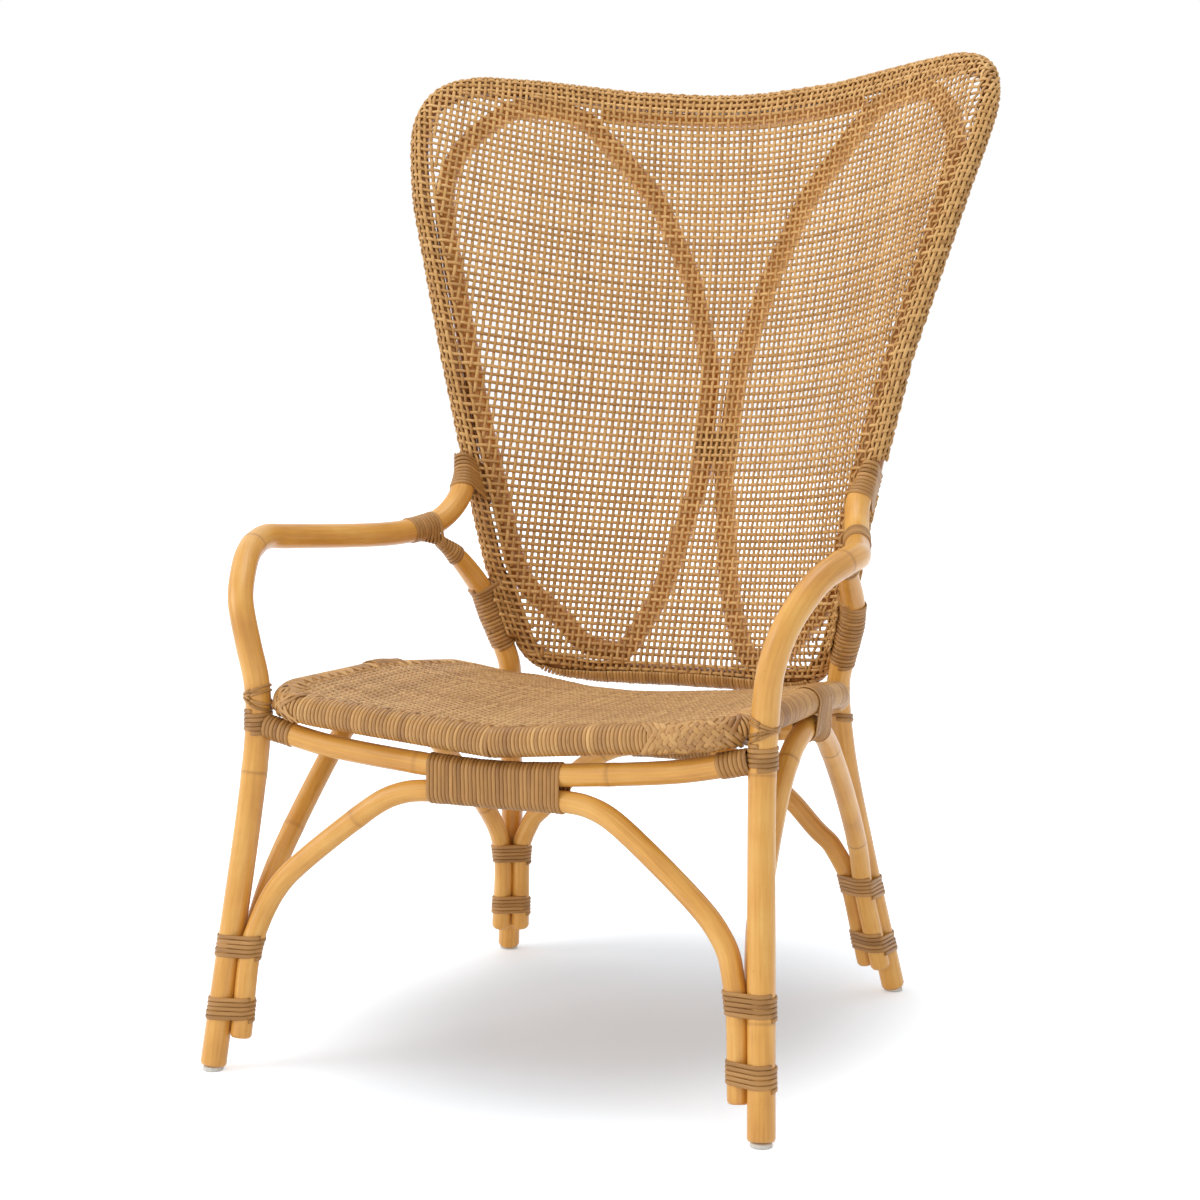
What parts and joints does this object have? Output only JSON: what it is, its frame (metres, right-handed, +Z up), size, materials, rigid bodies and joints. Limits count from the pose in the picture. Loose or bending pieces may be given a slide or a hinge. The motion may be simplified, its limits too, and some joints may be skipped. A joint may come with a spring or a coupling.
{
  "type": "lounge chair",
  "caption": "High winged back lounge chair of bent rattan poles with peel bindings, an open woven hollow back and a tight woven seat.",
  "frame": {"origin": "centre of the chair's plan box on the floor", "axes": "+X across the chair, +Y towards the back, +Z up, the seat opens towards -Y"},
  "size_m": [0.7504, 0.7794, 1.1097],
  "materials": {
    "rattan_pole": "clear lacquered honey rattan pole with joints",
    "rattan_peel": "satin brown rattan peel strip",
    "woven_cane": "satin woven cane strand",
    "foot_pad": "pale grey moulded glide"
  },
  "bodies": {
    "root": {"front_leg_arm_right": "rattan_pole", "front_leg_arm_left": "rattan_pole", "rear_leg_right": "rattan_pole", "rear_leg_left": "rattan_pole", "side_arch_right": "rattan_pole", "side_arch_left": "rattan_pole", "front_arch": "rattan_pole", "rear_arch": "rattan_pole", "front_rail": "rattan_pole", "rear_rail": "rattan_pole", "foot_pad_front_right": "foot_pad", "foot_pad_front_left": "foot_pad", "foot_pad_rear_right": "foot_pad", "foot_pad_rear_left": "foot_pad", "back_frame": "rattan_pole", "back_frame_weave": "woven_cane", "back_panel": "woven_cane", "back_loop_right": "rattan_pole", "back_loop_left": "rattan_pole", "back_loop_binding": "rattan_peel", "seat_hoop": "rattan_pole", "seat_weave": "woven_cane", "seat_side_strap_right": "rattan_peel", "seat_side_strap_left": "rattan_peel", "seat_corner_tie_right": "rattan_peel", "seat_corner_tie_left": "rattan_peel", "seat_rear_tie_right": "rattan_peel", "seat_rear_tie_left": "rattan_peel", "front_leg_binding_low_right": "rattan_peel", "front_leg_binding_low_left": "rattan_peel", "front_leg_binding_high_right": "rattan_peel", "front_leg_binding_high_left": "rattan_peel", "rear_leg_binding_low_right": "rattan_peel", "rear_leg_binding_low_left": "rattan_peel", "rear_leg_binding_high_right": "rattan_peel", "rear_leg_binding_high_left": "rattan_peel", "leg_rail_binding_right": "rattan_peel", "leg_rail_binding_left": "rattan_peel", "rail_end_binding_right": "rattan_peel", "rail_end_binding_left": "rattan_peel", "front_center_binding": "rattan_peel", "rear_center_binding": "rattan_peel", "arm_end_binding_right": "rattan_peel", "arm_end_binding_left": "rattan_peel", "frame_leg_binding_right": "rattan_peel", "frame_leg_binding_left": "rattan_peel", "arm_branch_binding_right": "rattan_peel", "arm_branch_binding_left": "rattan_peel"}
  },
  "joints": []
}
